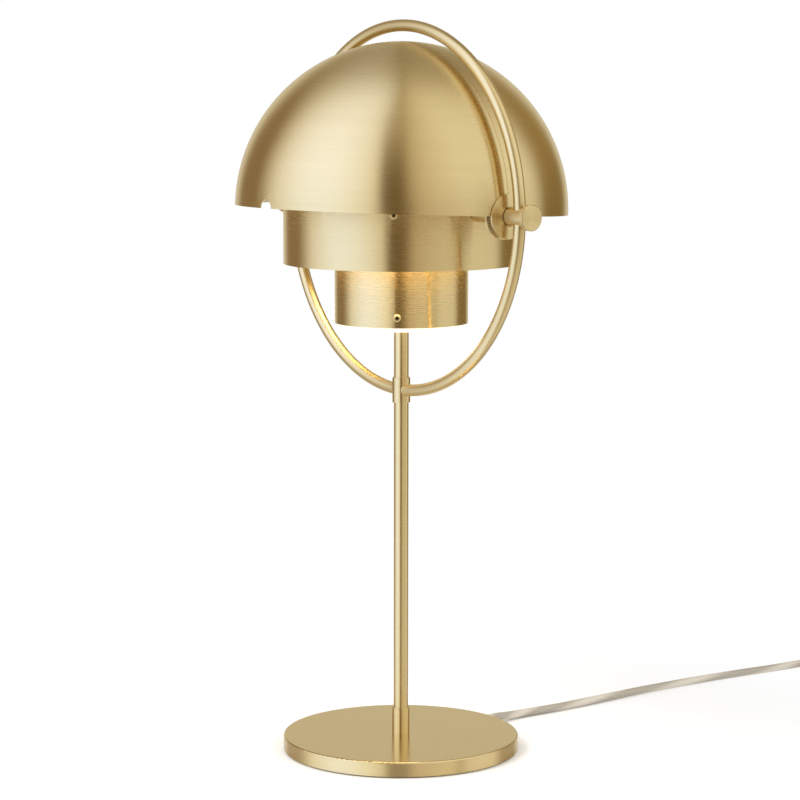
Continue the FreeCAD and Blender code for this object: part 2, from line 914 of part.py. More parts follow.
def run_and_arc_edges(points, name):
    """Straight runs joined by tangent arcs, each as large as its two runs allow."""
    edges = []
    start = points[0]
    radii = []
    for before, corner, after in zip(points, points[1:], points[2:]):
        back = (before - corner).normalize()
        ahead = (after - corner).normalize()
        half_turn = (math.pi - back.getAngle(ahead)) / 2
        set_back = 0.45 * min((before - corner).Length, (after - corner).Length)
        radius = set_back / math.tan(half_turn)
        radii.append(radius)
        arc_start = corner + back * set_back
        arc_end = corner + ahead * set_back
        to_centre = (back + ahead).normalize()
        middle = corner + to_centre * (radius / math.cos(half_turn) - radius)
        edges.append(Part.LineSegment(start, arc_start).toShape())
        edges.append(Part.Arc(arc_start, middle, arc_end).toShape())
        start = arc_end
    edges.append(Part.LineSegment(start, points[-1]).toShape())
    print(name, "smallest arc %.1f mm" % min(radii))
    return edges


def half_turn_edges(start, end, way):
    """Two tangent arcs from one point to the other, leaving along way and arriving against it."""
    half = (end - start).Length / 2
    corner_one = start + way * half
    corner_two = end + way * half
    middle = (corner_one + corner_two) * 0.5
    edges = []
    for first, corner, last in ((start, corner_one, middle), (middle, corner_two, end)):
        chord_middle = (first + last) * 0.5
        bulge = (corner - chord_middle).Length
        half_chord = (last - first).Length / 2
        tangent = (corner - first).Length
        depth = half_chord * (tangent - half_chord) / bulge
        between = chord_middle + (corner - chord_middle).normalize() * depth
        edges.append(Part.Arc(first, between, last).toShape())
    return edges


def coil_edges():
    """A spiral in along the table, up a layer, and out again on top, in half turns."""
    step = size("coil_half_turn_step")
    per_layer = int(size("coil_half_turns_per_layer"))
    radii = [size("coil_radius") - step * index for index in range(per_layer + 1)]
    heights = [CORD_RADIUS] * (per_layer + 1) + [COIL_TOP] * (per_layer + 1)
    radii += radii[::-1]
    places = []
    for index, (radius, height) in enumerate(zip(radii, heights)):
        side = -1 if index % 2 == 0 else 1
        places.append(Vector(COIL_CENTRE.x + side * radius, COIL_CENTRE.y, height))
    edges = [Part.LineSegment(LEAD_END, places[0]).toShape()]
    for index in range(len(places) - 1):
        way = Vector(0, 1 if index % 2 == 0 else -1, 0)
        edges += half_turn_edges(places[index], places[index + 1], way)
    edges.append(Part.LineSegment(places[-1], TAIL_POINTS[0]).toShape())
    return edges


def cord_solid(name, edges):
    """The cord's round section carried along a path."""
    path = Part.Wire(edges)
    first = edges[0]
    start = first.valueAt(first.FirstParameter)
    way = first.tangentAt(first.FirstParameter)
    section = Part.Wire([Part.Circle(start, way, CORD_RADIUS).toShape()])
    solid = path.makePipeShell([section], True, False)
    expected = math.pi * CORD_RADIUS ** 2 * path.Length
    print(name, "length %.1f mm, volume ratio %.4f" % (path.Length, solid.Volume / expected))
    piece = doc.addObject("Part::Feature", name)
    piece.Shape = solid
    return piece


def least_gap(edges, name):
    """Prints the least gap of a winding to itself, measured on points a few millimetres apart."""
    points = []
    travelled = 0.0
    for edge in edges:
        count = max(2, int(edge.Length / 3))
        for place in edge.discretize(Number=count)[:-1]:
            points.append((travelled, place))
        travelled += edge.Length
    total = len(points)
    spacing = travelled / total
    skip = int(math.pi * size("coil_radius") / 2 / spacing)
    least = min(
        points[one][1].distanceToPoint(points[two][1])
        for one in range(total)
        for two in range(one + skip, total)
    )
    print(name, "least gap to itself %.2f mm" % (least - 2 * CORD_RADIUS))


cord_lead = cord_solid("cord_lead", run_and_arc_edges(LEAD_POINTS, "cord_lead"))
coil = coil_edges()
cord_coil = cord_solid("cord_coil", coil)
least_gap(coil, "cord_coil")
cord_tail = cord_solid("cord_tail", run_and_arc_edges(TAIL_POINTS, "cord_tail"))


def make_plug():
    """A flat two-pin plug that lies on the table with its pins towards -Y."""
    body = doc.addObject("PartDesign::Body", "plug_body")
    sketch = body.newObject("Sketcher::SketchObject", "plug_outline")
    plane = [item for item in body.Origin.OriginFeatures if item.Role == "XY_Plane"][0]
    sketch.AttachmentSupport = [(plane, "")]
    sketch.MapMode = "FlatFace"
    outline = [
        ("-plug_neck_width / 2", "0"),
        ("plug_neck_width / 2", "0"),
        ("plug_width / 2", "-plug_shoulder"),
        ("plug_width / 2", "-plug_length"),
        ("-plug_width / 2", "-plug_length"),
        ("-plug_width / 2", "-plug_shoulder"),
    ]
    corners = [Vector(worked_out(x), worked_out(y), 0) for x, y in outline]
    count = len(corners)
    for index in range(count):
        line = Part.LineSegment(corners[index], corners[(index + 1) % count])
        sketch.addGeometry(line, False)
    for index in range(count):
        sketch.addConstraint(Sketcher.Constraint("Coincident", index, 2, (index + 1) % count, 1))
    for index, (x, y) in enumerate(outline):
        rule = Sketcher.Constraint("DistanceX", -1, 1, index, 1, worked_out(x))
        bind(sketch, "Constraints[%d]" % sketch.addConstraint(rule), x)
        if y == "0":
            sketch.addConstraint(Sketcher.Constraint("PointOnObject", index, 1, -1))
            continue
        rule = Sketcher.Constraint("DistanceY", -1, 1, index, 1, worked_out(y))
        bind(sketch, "Constraints[%d]" % sketch.addConstraint(rule), y)
    pad = body.newObject("PartDesign::Pad", "plug_pad")
    pad.Profile = sketch
    bind(pad, "Length", "plug_height")
    doc.recompute()
    fillet = body.newObject("PartDesign::Fillet", "plug_fillet")
    fillet.Base = (pad, ["Face%d" % (number + 1) for number in range(len(pad.Shape.Faces))])
    bind(fillet, "Radius", "plug_round")
    body.Placement = FreeCAD.Placement(
        Vector(PLUG_PLACE.x, PLUG_PLACE.y, 0), FreeCAD.Rotation()
    )
    pins = []
    for index, side in enumerate((-1, 1)):
        pin = doc.addObject("Part::Cylinder", "plug_pin_%d" % index)
        bind(pin, "Radius", "plug_pin_radius")
        bind(pin, "Height", "plug_pin_length")
        pin.Placement = FreeCAD.Placement(
            Vector(
                PLUG_PLACE.x + side * size("plug_pin_spacing") / 2,
                PLUG_PLACE.y - size("plug_length"),
                PLUG_AXIS_HEIGHT,
            ),
            FreeCAD.Rotation(Vector(1, 0, 0), 90),
        )
        pins.append(pin)
    return [body, group("plug_pins", pins)]


plug_pieces = make_plug()

# ---------------------------------------------------------------- check and write

PIECES = (
    [base_pad, base_plate, foot_nut, stem, lower_collar, upper_collar, ring]
    + hinge_pieces
    + [shade_front, shade_back, large_cylinder, small_cylinder, spider, straps]
    + fasteners
    + [spider_nut, holder_cap, holder_body, bulb_cap, bulb_glass, diffuser]
    + [cord_relief, cord_lead, cord_coil, cord_tail]
    + plug_pieces
)

doc.recompute()
for item in doc.Objects:
    if "Invalid" in item.State or "Error" in item.State:
        raise RuntimeError("object failed: " + item.Name)
for piece in PIECES:
    shape = piece.Shape
    if shape.isNull() or not shape.isValid() or not shape.Solids:
        raise RuntimeError("bad shape: " + piece.Label)

os.makedirs("parts", exist_ok=True)
for piece in PIECES:
    piece.Shape.exportStep("parts/%s.step" % piece.Label)
print(len(PIECES), "pieces written")
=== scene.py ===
"""A brass table lamp with two quarter-sphere shades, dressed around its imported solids.

Lengths are in metres, mostly written as millimetres times MM. Angles are in degrees where they are
named values, and in radians where they are worked with.
"""

import math

import bpy
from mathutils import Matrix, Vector


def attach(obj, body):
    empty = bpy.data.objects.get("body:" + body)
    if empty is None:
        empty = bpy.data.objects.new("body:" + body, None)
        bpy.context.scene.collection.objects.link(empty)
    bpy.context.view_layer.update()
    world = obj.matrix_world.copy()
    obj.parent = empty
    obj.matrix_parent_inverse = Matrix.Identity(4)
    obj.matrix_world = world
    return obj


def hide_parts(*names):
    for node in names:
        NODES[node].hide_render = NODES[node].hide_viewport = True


MM = 0.001
UP = (0.0, 0.0, 1.0)

# ------------------------------------------------------------------ sizes and places

# The camera, as fitted to the photograph. Its azimuth turns it to the left from looking along +Y.
CAMERA_PLACE = Vector((1422.7, -1108.4, 469.6)) * MM
CAMERA_AZIMUTH = 52.117
CAMERA_PITCH = 7.167
CAMERA_ROLL = -0.08
CAMERA_LENS = 119.9
CAMERA_SENSOR = 36.0
CAMERA_CLIP_END = 20.0

# The lamp. The middles are the distances from the hinge's centre to the middle of a shade's wall and of the
# front shade's tab, and the reach is the tabs' radius with its margin.
HINGE_AXIS = (1.0, 0.0, 0.0)
RING_AXIS = (0.0, 1.0, 0.0)
HINGE_HEIGHT = 373.0 * MM
HINGE_CENTRE = (0.0, 0.0, HINGE_HEIGHT)
WALL_MIDDLE = 111.7 * MM
FRONT_TAB_MIDDLE = 108.2 * MM
TAB_REACH = 15.7 * MM

# The screws, three of them round each cylinder.
SMALL_SCREW_HEIGHT = 303.1 * MM
LARGE_SCREW_HEIGHT = HINGE_HEIGHT
SCREW_AZIMUTH = -41.5
SCREW_SOCKET_RADIUS = 0.95 * MM
SCREW_COUNT = 3

# The cord. The coil has two layers of COIL_HALF_TURNS, joined by one half turn that climbs.
CORD_RADIUS = 2.8 * MM
CORD_TWISTS = 52.0
EXIT_AZIMUTH = 97.0
EXIT_RADIUS = 84.0 * MM
EXIT_HEIGHT = 5.4 * MM
PLUG_HALF_HEIGHT = 7.0 * MM
COIL_RADIUS = 44.5 * MM
COIL_HALF_TURN_STEP = 3.5 * MM
COIL_LAYER_STEP = 7.2 * MM
COIL_HALF_TURNS = 6
COIL_POINTS_PER_HALF_TURN = 8
COIL_END_RUN = 2 * CORD_RADIUS

# The table top, which turns into the white round it between the two radii of its fade.
FLOOR_RADIUS = 900 * MM
FLOOR_SIDES = 96
FLOOR_DROP = 0.2 * MM
FLOOR_FADE_START = 120 * MM
FLOOR_FADE_END = 420 * MM
FLOOR_IN_MIRROR_CLEAR = 0.75

# ------------------------------------------------------------------ looks

# Brushed brass: the scales of the noise in its rings, how far each changes the colour or the roughness, the
# rings' depth, and the turn that lays the highlight across them.
BRASS = (0.78, 0.62, 0.33)
RING_NOISE_FINE = 2600.0
RING_NOISE_BROAD = 300.0
RING_NOISE_CLOUD = 14.0
RING_WANDER = 0.02
FINE_CONTRAST = 0.06
BROAD_CONTRAST = 0.05
CLOUD_CONTRAST = 0.03
ROUGHNESS_CONTRAST = 0.08
BRUSHED_DEPTH = 0.003 * MM
BRUSHED_TURN = 0.25

# The other colours, each pair the two ends of a mottle or a stripe, and the colours of the light.
# Painted shade for the screws' sockets: a near-black round spot where the recess would lie in shadow.
SOCKET_PAINTED_SHADE = (0.03, 0.02, 0.01)
LACQUER_LOW = (0.86, 0.84, 0.79)
LACQUER_HIGH = (0.90, 0.885, 0.84)
CORD_LOW = (0.42, 0.37, 0.30)
CORD_HIGH = (0.68, 0.62, 0.52)
FLOOR_LOW = (0.95, 0.95, 0.95)
FLOOR_HIGH = (0.97, 0.97, 0.97)
BULB_GLOW = (1.0, 0.80, 0.52)
BULB_STRENGTH = 4.0
OPAL_GLOW = (1.0, 0.84, 0.60)
OPAL_STRENGTH = 0.9
WHITE = (1.0, 1.0, 1.0)
WARM = (1.0, 0.84, 0.54)

# The studio's light on surfaces that are not metal.
DIFFUSE_LEVEL = 0.76

# What the metal sees round the lamp: soft panels and the dark gaps between them. Each row has an azimuth, in
# degrees to the camera's right, and the light there. There is one table for level, one for higher up and one
# for overhead. The pairs after them are the heights, as parts of 1, over which one turns into the next.
DARK = (0.13, 0.075, 0.015)
BROWN = (0.29, 0.205, 0.12)
RIGHT_BROWN = (0.24, 0.17, 0.07)
HIGH_RIGHT_BROWN = (0.36, 0.26, 0.11)
BACKDROP = (0.67, 0.62, 0.48)
AROUND_LOW = [
    (-180, BACKDROP),
    (-158, BACKDROP),
    (-144, BROWN),
    (-119, BROWN),
    (-110, (0.45, 0.42, 0.36)),
    (-97, (0.90, 0.92, 0.98)),
    (-70, (1.08, 1.26, 1.68)),
    (-50, (1.08, 1.24, 1.62)),
    (-33, (1.00, 1.08, 1.18)),
    (-18, (0.80, 0.79, 0.72)),
    (-11, DARK),
    (4, DARK),
    (14, (0.53, 0.435, 0.32)),
    (30, (0.60, 0.54, 0.42)),
    (50, (0.68, 0.63, 0.50)),
    (60, (0.44, 0.39, 0.26)),
    (72, (0.76, 0.74, 0.66)),
    (103, (0.76, 0.74, 0.66)),
    (117, RIGHT_BROWN),
    (146, RIGHT_BROWN),
    (160, BACKDROP),
    (180, BACKDROP),
]
AROUND_HIGH = [
    (-180, BACKDROP),
    (-158, BACKDROP),
    (-144, BROWN),
    (-122, BROWN),
    (-110, (0.70, 0.66, 0.58)),
    (-98, (1.05, 1.10, 1.30)),
    (-84, (1.20, 1.34, 1.75)),
    (-64, (1.28, 1.46, 2.06)),
    (-45, (1.24, 1.40, 1.88)),
    (-28, (1.10, 1.18, 1.38)),
    (-19, (0.95, 0.95, 0.92)),
    (-13, DARK),
    (-1, DARK),
    (8, (0.62, 0.55, 0.40)),
    (24, (0.84, 0.78, 0.68)),
    (42, (0.94, 0.94, 0.88)),
    (77, (1.00, 1.02, 0.98)),
    (102, (0.96, 0.98, 0.96)),
    (119, (0.45, 0.36, 0.22)),
    (131, HIGH_RIGHT_BROWN),
    (146, HIGH_RIGHT_BROWN),
    (160, BACKDROP),
    (180, BACKDROP),
]
AROUND_TOP = [
    (-180, (0.62, 0.58, 0.48)),
    (-125, (0.80, 0.78, 0.70)),
    (-95, (1.16, 1.24, 1.48)),
    (-60, (1.24, 1.36, 1.75)),
    (-28, (1.06, 1.12, 1.25)),
    (-14, (0.62, 0.55, 0.42)),
    (2, (0.58, 0.50, 0.36)),
    (20, (0.80, 0.74, 0.60)),
    (50, (1.00, 1.00, 0.92)),
    (90, (0.96, 0.94, 0.82)),
    (125, (0.55, 0.47, 0.32)),
    (180, (0.62, 0.58, 0.48)),
]
LOW_TO_HIGH = (0.0, 0.24)
HIGH_TO_TOP = (0.5, 0.9)

# A dimmer patch overhead and behind the lamp: how much height and depth count, and where it begins and ends.
PATCH_HEIGHT = 0.8
PATCH_DEPTH = 0.6
PATCH_START = 0.89
PATCH_END = 0.975
PATCH_LIGHT = (0.52, 0.47, 0.38)

# ------------------------------------------------------------------ frame

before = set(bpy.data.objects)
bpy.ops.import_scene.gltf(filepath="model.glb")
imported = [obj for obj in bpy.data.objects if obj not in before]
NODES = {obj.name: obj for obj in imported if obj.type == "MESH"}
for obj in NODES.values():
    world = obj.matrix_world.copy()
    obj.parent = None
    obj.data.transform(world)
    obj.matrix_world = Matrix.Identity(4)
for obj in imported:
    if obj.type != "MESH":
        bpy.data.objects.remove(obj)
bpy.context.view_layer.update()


# ------------------------------------------------------------------ camera


def make_camera():
    camera = bpy.data.objects.new("camera", bpy.data.cameras.new("camera"))
    camera.data.lens = CAMERA_LENS
    camera.data.sensor_width = CAMERA_SENSOR
    camera.data.clip_end = CAMERA_CLIP_END
    camera.location = CAMERA_PLACE
    camera.rotation_mode = "XYZ"
    camera.rotation_euler = (
        math.radians(90 - CAMERA_PITCH),
        math.radians(CAMERA_ROLL),
        math.radians(CAMERA_AZIMUTH),
    )
    bpy.context.scene.collection.objects.link(camera)
    bpy.context.scene.camera = camera


# ------------------------------------------------------------------ node helpers


class Nodes:
    """Adds nodes to one material's or the world's tree and links them."""

    def __init__(self, tree):
        self.tree = tree

    def add(self, kind, **settings):
        node = self.tree.nodes.new(kind)
        for name, value in settings.items():
            setattr(node, name, value)
        return node

    def link(self, source, target):
        self.tree.links.new(source, target)

    def feed(self, value, target):
        """Links a socket to the target, or sets the target to a plain value."""
        if isinstance(value, bpy.types.NodeSocket):
            self.link(value, target)
        else:
            target.default_value = value

    def place(self):
        return self.add("ShaderNodeTexCoord").outputs["Object"]

    def math(self, operation, first, second=0.0):
        node = self.add("ShaderNodeMath", operation=operation)
        self.feed(first, node.inputs[0])
        self.feed(second, node.inputs[1])
        return node.outputs[0]

    def wrap(self, value, low, high):
        node = self.add("ShaderNodeMath", operation="WRAP")
        for part, target in zip((value, high, low), node.inputs):
            self.feed(part, target)
        return node.outputs[0]

    def vector(self, operation, first, second=(0, 0, 0)):
        node = self.add("ShaderNodeVectorMath", operation=operation)
        self.feed(first, node.inputs[0])
        self.feed(second, node.inputs[1])
        return node.outputs["Value" if operation in ("DOT_PRODUCT", "LENGTH") else "Vector"]

    def split(self, vector):
        node = self.add("ShaderNodeSeparateXYZ")
        self.link(vector, node.inputs[0])
        return node.outputs

    def join(self, x, y, z):
        node = self.add("ShaderNodeCombineXYZ")
        for value, target in zip((x, y, z), node.inputs):
            self.feed(value, target)
        return node.outputs[0]

    def noise(self, vector, scale, detail=2.0):
        node = self.add("ShaderNodeTexNoise")
        self.link(vector, node.inputs["Vector"])
        node.inputs["Scale"].default_value = scale
        node.inputs["Detail"].default_value = detail
        return node.outputs["Fac"]

    def spread(self, value, low=0.0, high=1.0, start=0.0, end=1.0, smooth=False):
        """A value from start to end, mapped to low to high and held there beyond."""
        node = self.add("ShaderNodeMapRange")
        if smooth:
            node.interpolation_type = "SMOOTHSTEP"
        self.feed(value, node.inputs["Value"])
        settings = {"From Min": start, "From Max": end, "To Min": low, "To Max": high}
        for name, setting in settings.items():
            node.inputs[name].default_value = setting
        return node.outputs["Result"]

    def around_one(self, value, contrast):
        return self.spread(value, 1 - contrast, 1 + contrast)

    def mix(self, share, first, second):
        """The first colour, turned into the second as the share goes from 0 to 1."""
        node = self.add("ShaderNodeMix", data_type="RGBA")
        self.feed(share, node.inputs["Factor"])
        self.feed(first, node.inputs[6])
        self.feed(second, node.inputs[7])
        return node.outputs[2]

    def mix_shaders(self, share, first, second):
        node = self.add("ShaderNodeMixShader")
        for source, target in zip((share, first, second), node.inputs):
            self.link(source, target)
        return node.outputs[0]

    def ramp(self, value, stops):
        node = self.add("ShaderNodeValToRGB")
        elements = node.color_ramp.elements
        while len(elements) < len(stops):
            elements.new(0.5)
        for element, (place, tone) in zip(elements, stops):
            element.position = place
            element.color = colour(tone)
        self.feed(value, node.inputs[0])
        return node.outputs[0]

    def bump(self, height, distance, strength):
        node = self.add("ShaderNodeBump")
        node.inputs["Strength"].default_value = strength
        node.inputs["Distance"].default_value = distance
        self.link(height, node.inputs["Height"])
        return node.outputs[0]


def colour(tone):
    """Red, green and blue with full cover."""
    return (*tone, 1.0)


def new_material(name):
    """A material with its node helper and its Principled shader."""
    material = bpy.data.materials.new(name)
    material.use_nodes = True
    shader = material.node_tree.nodes["Principled BSDF"]
    return material, Nodes(material.node_tree), shader


# ------------------------------------------------------------------ materials


def round_axis(nodes, axis, centre):
    """The direction round an axis, the offset from its centre, and the distances along and from it."""
    offset = nodes.vector("SUBTRACT", nodes.place(), centre)
    across = nodes.vector("CROSS_PRODUCT", axis, offset)
    turned = nodes.add(
        "ShaderNodeVectorTransform", vector_type="VECTOR", convert_from="OBJECT", convert_to="WORLD"
    )
    nodes.link(nodes.vector("NORMALIZE", across), turned.inputs[0])
    along = nodes.vector("DOT_PRODUCT", offset, axis)
    return turned.outputs[0], offset, along, nodes.vector("LENGTH", across)


def brass(name, axis=UP, centre=(0, 0, 0), roughness=0.27, anisotropy=0.95, lines=1.0):
    """Satin brass, brushed in fine rings round an axis. Lines says how strong the rings are."""
    material, nodes, shader = new_material(name)
    tangent, offset, along, distance = round_axis(nodes, axis, centre)
    # The noise changes quickly along the axis and outwards, and slowly round it.
    wander = nodes.vector("MULTIPLY", offset, (RING_WANDER, RING_WANDER, RING_WANDER))
    place = nodes.vector("ADD", nodes.join(along, distance, 0.0), wander)
    fine = nodes.noise(place, RING_NOISE_FINE, 3.0)
    broad = nodes.noise(place, RING_NOISE_BROAD, 2.0)
    cloud = nodes.noise(offset, RING_NOISE_CLOUD, 3.0)
    shade = nodes.around_one(fine, FINE_CONTRAST * lines)
    shade = nodes.math("MULTIPLY", shade, nodes.around_one(broad, BROAD_CONTRAST * lines))
    shade = nodes.math("MULTIPLY", shade, nodes.around_one(cloud, CLOUD_CONTRAST))
    tinted = nodes.vector("MULTIPLY", BRASS, nodes.join(shade, shade, shade))
    nodes.link(tinted, shader.inputs["Base Color"])
    rough = nodes.math("MULTIPLY", nodes.around_one(fine, ROUGHNESS_CONTRAST), roughness)
    nodes.link(rough, shader.inputs["Roughness"])
    nodes.link(nodes.bump(fine, BRUSHED_DEPTH * lines, 0.2), shader.inputs["Normal"])
    nodes.link(tangent, shader.inputs["Tangent"])
    shader.inputs["Metallic"].default_value = 1.0
    shader.inputs["Anisotropic"].default_value = anisotropy
    shader.inputs["Anisotropic Rotation"].default_value = BRUSHED_TURN
    return material


def lacquered_shade(name, tab_middle):
    """Brushed brass outside and white lacquer inside, told apart by the distance from the hinge's centre.

    The wall's middle and the middle of the round tab at the hinge may be at different distances.
    """
    material = brass(name, UP, HINGE_CENTRE, lines=0.8)
    nodes = Nodes(material.node_tree)
    outside = material.node_tree.nodes["Principled BSDF"]
    inside = nodes.add("ShaderNodeBsdfPrincipled")
    place = nodes.place()
    mottled = nodes.mix(nodes.noise(place, 60.0), colour(LACQUER_LOW), colour(LACQUER_HIGH))
    nodes.link(mottled, inside.inputs["Base Color"])
    inside.inputs["Roughness"].default_value = 0.45
    grain = nodes.bump(nodes.noise(place, 900.0), 0.02 * MM, 0.3)
    nodes.link(grain, inside.inputs["Normal"])
    offset = nodes.vector("SUBTRACT", place, HINGE_CENTRE)
    _, across, height = nodes.split(offset)
    from_axis = nodes.vector("LENGTH", nodes.join(0.0, across, height))
    on_wall = nodes.math("GREATER_THAN", from_axis, TAB_REACH)
    step = nodes.math("MULTIPLY", on_wall, WALL_MIDDLE - tab_middle)
    middle = nodes.math("ADD", tab_middle, step)
    is_outside = nodes.math("GREATER_THAN", nodes.vector("LENGTH", offset), middle)
    surface = nodes.mix_shaders(is_outside, inside.outputs[0], outside.outputs[0])
    output = material.node_tree.nodes["Material Output"]
    nodes.link(surface, output.inputs["Surface"])
    return material


def socket_screw(name, height):
    """Brass screw heads round a cylinder, with painted shade in a small round spot in the middle of each,
    standing in for the socket's recess.
    """
    material = brass(name, roughness=0.3, anisotropy=0.2, lines=0.3)
    nodes = Nodes(material.node_tree)
    shader = material.node_tree.nodes["Principled BSDF"]
    x, y, z = nodes.split(nodes.place())
    turn = nodes.math("SUBTRACT", nodes.math("ARCTAN2", y, x), math.radians(SCREW_AZIMUTH))
    half_share = math.pi / SCREW_COUNT
    turn = nodes.wrap(turn, -half_share, half_share)
    aside = nodes.math("MULTIPLY", turn, nodes.vector("LENGTH", nodes.join(x, y, 0.0)))
    above = nodes.math("SUBTRACT", z, height)
    from_socket = nodes.vector("LENGTH", nodes.join(aside, above, 0.0))
    socket_shade_mask = nodes.math("LESS_THAN", from_socket, SCREW_SOCKET_RADIUS)
    metal = shader.inputs["Base Color"].links[0].from_socket
    # Paints shade into the socket spot: near-black in place of the recess's own shadow.
    nodes.link(nodes.mix(socket_shade_mask, metal, colour(SOCKET_PAINTED_SHADE)), shader.inputs["Base Color"])
    return material


def plain(name, low, high, roughness, bump=0.03 * MM, metallic=0.0):
    """A moulded or plated surface with a slight mottle and a fine grain."""
    material, nodes, shader = new_material(name)
    place = nodes.place()
    mottled = nodes.mix(nodes.noise(place, 120.0, 3.0), colour(low), colour(high))
    nodes.link(mottled, shader.inputs["Base Color"])
    rough = nodes.spread(nodes.noise(place, 480.0), roughness * 0.85, roughness * 1.15)
    nodes.link(rough, shader.inputs["Roughness"])
    grain = nodes.bump(nodes.noise(place, 1080.0), bump, 0.4)
    nodes.link(grain, shader.inputs["Normal"])
    shader.inputs["Metallic"].default_value = metallic
    return material


def glowing(name, body, glow, strength, roughness):
    """Frosted or opal glass with the lamp's light in it."""
    material, nodes, shader = new_material(name)
    dimmer = [part * 0.97 for part in body]
    mottled = nodes.mix(nodes.noise(nodes.place(), 45.0), colour(body), colour(dimmer))
    nodes.link(mottled, shader.inputs["Base Color"])
    shader.inputs["Roughness"].default_value = roughness
    shader.inputs["Emission Color"].default_value = colour(glow)
    shader.inputs["Emission Strength"].default_value = strength
    return material


def cord_sheath():
    """A clear grey-beige sheath over two twisted cores, which show as slanting stripes."""
    material, nodes, shader = new_material("cord_sheath")
    along, around, _ = nodes.split(nodes.add("ShaderNodeTexCoord").outputs["UV"])
    phase = nodes.math("ADD", nodes.math("MULTIPLY", along, CORD_TWISTS), around)
    wave = nodes.math("SINE", nodes.math("MULTIPLY", phase, 2 * math.pi))
    stripe = nodes.spread(wave, start=-0.35, end=0.9)
    nodes.link(nodes.mix(stripe, colour(CORD_LOW), colour(CORD_HIGH)), shader.inputs["Base Color"])
    shader.inputs["Roughness"].default_value = 0.28
    shader.inputs["Coat Weight"].default_value = 0.6
    shader.inputs["Coat Roughness"].default_value = 0.12
    return material


def floor_white():
    """A pale table top near the lamp that turns into plain white further out.

    Rays from the metal mostly pass through it and see the studio.
    """
    material, nodes, shader = new_material("floor_white")
    place = nodes.place()
    mottled = nodes.mix(nodes.noise(place, 3.0), colour(FLOOR_LOW), colour(FLOOR_HIGH))
    nodes.link(mottled, shader.inputs["Base Color"])
    shader.inputs["Roughness"].default_value = 0.6
    shader.inputs["Specular IOR Level"].default_value = 0.1
    out = nodes.vector("LENGTH", place)
    far = nodes.spread(out, start=FLOOR_FADE_START, end=FLOOR_FADE_END, smooth=True)
    white = nodes.add("ShaderNodeEmission")
    clear = nodes.add("ShaderNodeBsdfTransparent")
    faded = nodes.mix_shaders(far, shader.outputs[0], white.outputs[0])
    glossy = nodes.add("ShaderNodeLightPath").outputs["Is Glossy Ray"]
    cleared = nodes.math("MULTIPLY", glossy, FLOOR_IN_MIRROR_CLEAR)
    surface = nodes.mix_shaders(cleared, faded, clear.outputs[0])
    output = material.node_tree.nodes["Material Output"]
    nodes.link(surface, output.inputs["Surface"])
    return material


def make_materials():
    return {
        "vertical": brass("brass_turned", lines=0.45),
        "stem": brass("brass_stem", roughness=0.26, anisotropy=0.8, lines=0.5),
        "hinge": brass("brass_hinge", HINGE_AXIS, HINGE_CENTRE, roughness=0.28, anisotropy=0.7),
        "ring": brass("brass_ring", RING_AXIS, HINGE_CENTRE, roughness=0.3, anisotropy=0.0, lines=0.1),
        "base": brass("brass_base", roughness=0.18, anisotropy=0.0, lines=0.4),
        "front": lacquered_shade("brass_front_shade", FRONT_TAB_MIDDLE),
        "back": lacquered_shade("brass_back_shade", WALL_MIDDLE),
        "small_screw": socket_screw("brass_small_screw", SMALL_SCREW_HEIGHT),
        "large_screw": socket_screw("brass_large_screw", LARGE_SCREW_HEIGHT),
        "steel": plain("zinc_steel", (0.48, 0.48, 0.49), (0.62, 0.62, 0.62), 0.34, metallic=1.0),
        "nylon": plain("nylon", (0.78, 0.78, 0.74), (0.86, 0.86, 0.82), 0.5),
        "holder": plain("holder_plastic", (0.80, 0.79, 0.75), (0.87, 0.86, 0.82), 0.45),
        "rubber": plain("pad_rubber", (0.025, 0.024, 0.022), (0.05, 0.048, 0.045), 0.8, bump=0.1 * MM),
        "cap": plain("bulb_cap_metal", (0.60, 0.59, 0.56), (0.72, 0.71, 0.68), 0.3, metallic=1.0),
        "pins": plain("plug_pin_nickel", (0.66, 0.64, 0.60), (0.76, 0.74, 0.70), 0.2, metallic=1.0),
        "plug": plain("plug_pvc", (0.62, 0.57, 0.49), (0.68, 0.63, 0.55), 0.38),
        "bulb": glowing("bulb_frosted", (0.95, 0.93, 0.88), BULB_GLOW, BULB_STRENGTH, 0.5),
        "opal": glowing("opal_glass", (0.93, 0.90, 0.82), OPAL_GLOW, OPAL_STRENGTH, 0.35),
        "cord": cord_sheath(),
        "floor": floor_white(),
    }


# Every piece by its material. The pieces of a hinge have one on each side of the lamp.
PIECES = {
    "vertical": ["large_cylinder", "small_cylinder"],
    "stem": ["stem", "lower_collar", "upper_collar"],
    "ring": ["ring"],
    "base": ["base_plate"],
    "front": ["shade_front"],
    "back": ["shade_back"],
    "small_screw": ["small_cylinder_screws"],
    "large_screw": ["large_cylinder_screws"],
    "steel": [
        "foot_nut",
        "spider",
        "spider_nut",
        "cylinder_straps",
        "small_cylinder_nuts",
        "large_cylinder_nuts",
    ],
    "holder": ["lampholder_cap", "lampholder_body"],
    "rubber": ["base_pad"],
    "cap": ["bulb_cap"],
    "pins": ["plug_pins"],
    "plug": ["plug_body", "cord_relief"],
    "bulb": ["bulb_glass"],
    "opal": ["diffuser"],
}
HINGE_PIECES = {
    "hinge": ["hinge_shaft", "end_cap", "disc_washer", "spacer_sleeve"],
    "nylon": ["friction_washer"],
    "steel": ["hinge_nut"],
}


def dress(node, material):
    data = NODES[node].data
    data.materials.clear()
    data.materials.append(material)


def dress_pieces():
    for key, nodes in PIECES.items():
        for node in nodes:
            dress(node, MATERIALS[key])
    for key, nodes in HINGE_PIECES.items():
        for node in nodes:
            for side in ("right", "left"):
                dress("%s_%s" % (node, side), MATERIALS[key])


# ------------------------------------------------------------------ cord


def along_exit(distance):
    """A point on the cord's straight way out of the foot."""
    azimuth = math.radians(EXIT_AZIMUTH)
    reach = EXIT_RADIUS + distance
    return Vector((reach * math.cos(azimuth), reach * math.sin(azimuth), EXIT_HEIGHT))


